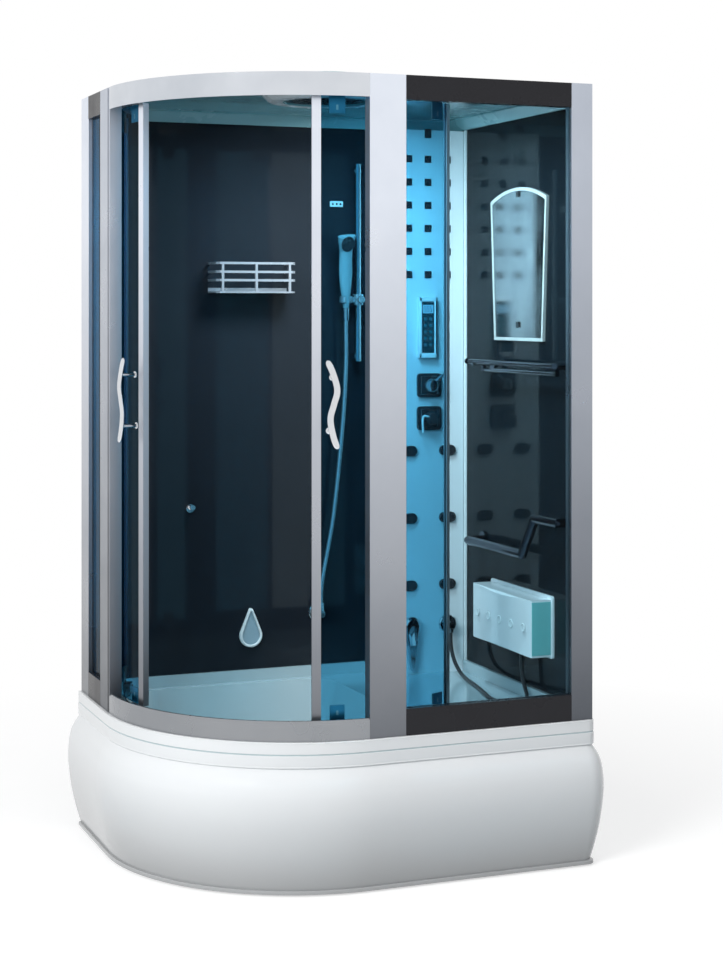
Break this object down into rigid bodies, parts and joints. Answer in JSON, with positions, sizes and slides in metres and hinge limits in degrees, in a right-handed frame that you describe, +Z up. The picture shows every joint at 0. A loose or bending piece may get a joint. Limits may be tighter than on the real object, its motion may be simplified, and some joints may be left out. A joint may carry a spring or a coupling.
{
  "type": "steam shower cabin",
  "caption": "Corner steam shower cabin with a deep bathing well and seat, curved sliding doors, glass front, jet column, hand shower, mirror and bulged apron.",
  "frame": {"origin": "middle of the cabin's footprint on the floor", "axes": "+Z up, +X to the right seen from the front, +Y towards the back wall"},
  "size_m": [1.3, 0.94, 2.178],
  "materials": {
    "white_acrylic": "gloss",
    "satin_silver": "satin",
    "black_wall": "gloss",
    "black_band": "gloss",
    "tinted_glass": "clear tinted",
    "mirror": "polished",
    "chrome": "polished",
    "plated_plastic": "metallised",
    "white_plastic": "gloss",
    "dark_plastic": "matt",
    "screen": "gloss",
    "hose_rubber": "matt",
    "steel": "brushed",
    "painted_frame": "satin"
  },
  "bodies": {
    "cabin": {"back_shelf": "chrome", "back_wall_panel": "black_wall", "base_frame": "painted_frame", "bottom_curved_rail": "satin_silver", "box_hose": "hose_rubber", "chrome_fittings": "chrome", "column": "white_acrylic", "column_jets": "dark_plastic", "door_tracks": "satin_silver", "fan_grille": "dark_plastic", "front_apron": "white_acrylic", "front_bands": "black_band", "front_glass": "tinted_glass", "grab_bar": "chrome", "left_bands": "black_band", "left_glass": "tinted_glass", "left_jamb": "satin_silver", "levelling_feet": "steel", "massage_unit": "white_acrylic", "mirror_frame": "white_plastic", "mirror_glass": "mirror", "panel_bezel": "white_plastic", "panel_screen": "screen", "rear_left_post": "satin_silver", "right_front_post": "satin_silver", "right_wall_panel": "black_wall", "roof_canopy": "white_acrylic", "shower_hose": "plated_plastic", "side_shelf": "chrome", "slide_rail": "chrome", "steam_generator": "steel", "steam_outlet": "white_plastic", "top_curved_rail": "satin_silver", "tub_shell": "white_acrylic", "waste_trap": "white_plastic", "wide_front_post": "satin_silver"},
    "left_door": {"left_door_glass": "tinted_glass", "left_door_stiles": "satin_silver", "left_door_handle": "chrome", "left_door_carriers": "steel"},
    "left_roller_1": {"left_roller_1": "dark_plastic"},
    "left_roller_2": {"left_roller_2": "dark_plastic"},
    "right_door": {"right_door_glass": "tinted_glass", "right_door_stiles": "satin_silver", "right_door_handle": "chrome", "right_door_carriers": "steel"},
    "right_roller_1": {"right_roller_1": "dark_plastic"},
    "right_roller_2": {"right_roller_2": "dark_plastic"},
    "fan_rotor": {"fan_rotor": "dark_plastic"},
    "mixer": {"mixer_lever": "chrome"},
    "diverter": {"diverter_lever": "chrome"},
    "slider": {"shower_slider": "plated_plastic"},
    "handset": {"hand_shower": "plated_plastic"},
    "plug": {"drain_plug": "chrome"}
  },
  "joints": [
    {"name": "left_door_slide", "type": "hinge", "parent": "cabin", "child": "left_door", "pos_m": [-0.05, 0.13, 1.26], "axis": [0, 0, 1], "range_deg": [0, 27.8]},
    {"name": "right_door_slide", "type": "hinge", "parent": "cabin", "child": "right_door", "pos_m": [-0.05, 0.13, 1.26], "axis": [0, 0, -1], "range_deg": [0, 29]},
    {"name": "left_roller_1_spin", "type": "hinge", "parent": "left_door", "child": "left_roller_1", "pos_m": [-0.54336, 0.04881, 2.1203], "axis": [-0.9867, -0.1624, 0], "range_deg": [-1170, 10]},
    {"name": "left_roller_2_spin", "type": "hinge", "parent": "left_door", "child": "left_roller_2", "pos_m": [-0.49786, 0.35232, 2.1203], "axis": [-0.8957, 0.4446, 0], "range_deg": [-1170, 10]},
    {"name": "right_roller_1_spin", "type": "hinge", "parent": "right_door", "child": "right_roller_1", "pos_m": [-0.12084, -0.36496, 2.1203], "axis": [-0.1417, -0.9899, 0], "range_deg": [-10, 1230]},
    {"name": "right_roller_2_spin", "type": "hinge", "parent": "right_door", "child": "right_roller_2", "pos_m": [0.18165, -0.3131, 2.1203], "axis": [0.4633, -0.8862, 0], "range_deg": [-10, 1230]},
    {"name": "fan_spin", "type": "hinge", "parent": "cabin", "child": "fan_rotor", "pos_m": [-0.055, -0.11, 2.14], "axis": [0, 0, 1], "continuous": true},
    {"name": "mixer_turn", "type": "hinge", "parent": "cabin", "child": "mixer", "pos_m": [0.454, 0.32, 1.294], "axis": [0, -1, 0], "range_deg": [-45, 45]},
    {"name": "diverter_turn", "type": "hinge", "parent": "cabin", "child": "diverter", "pos_m": [0.454, 0.32, 1.192], "axis": [0, -1, 0], "range_deg": [-60, 60]},
    {"name": "slider_slide", "type": "slide", "parent": "cabin", "child": "slider", "axis": [0, 0, 1], "range_m": [-0.14, 0], "deforming": ["shower_hose"]},
    {"name": "handset_lift", "type": "slide", "parent": "slider", "child": "handset", "axis": [0, 0, 1], "range_m": [0, 0.03]},
    {"name": "plug_lift", "type": "slide", "parent": "cabin", "child": "plug", "axis": [0, 0, 1], "range_m": [0, 0.012]}
  ],
  "couplings": [
    {"joint": "left_roller_1_spin", "follows": "left_door_slide", "ratio": -41.667},
    {"joint": "left_roller_2_spin", "follows": "left_door_slide", "ratio": -41.667},
    {"joint": "right_roller_1_spin", "follows": "right_door_slide", "ratio": 41.667},
    {"joint": "right_roller_2_spin", "follows": "right_door_slide", "ratio": 41.667}
  ]
}
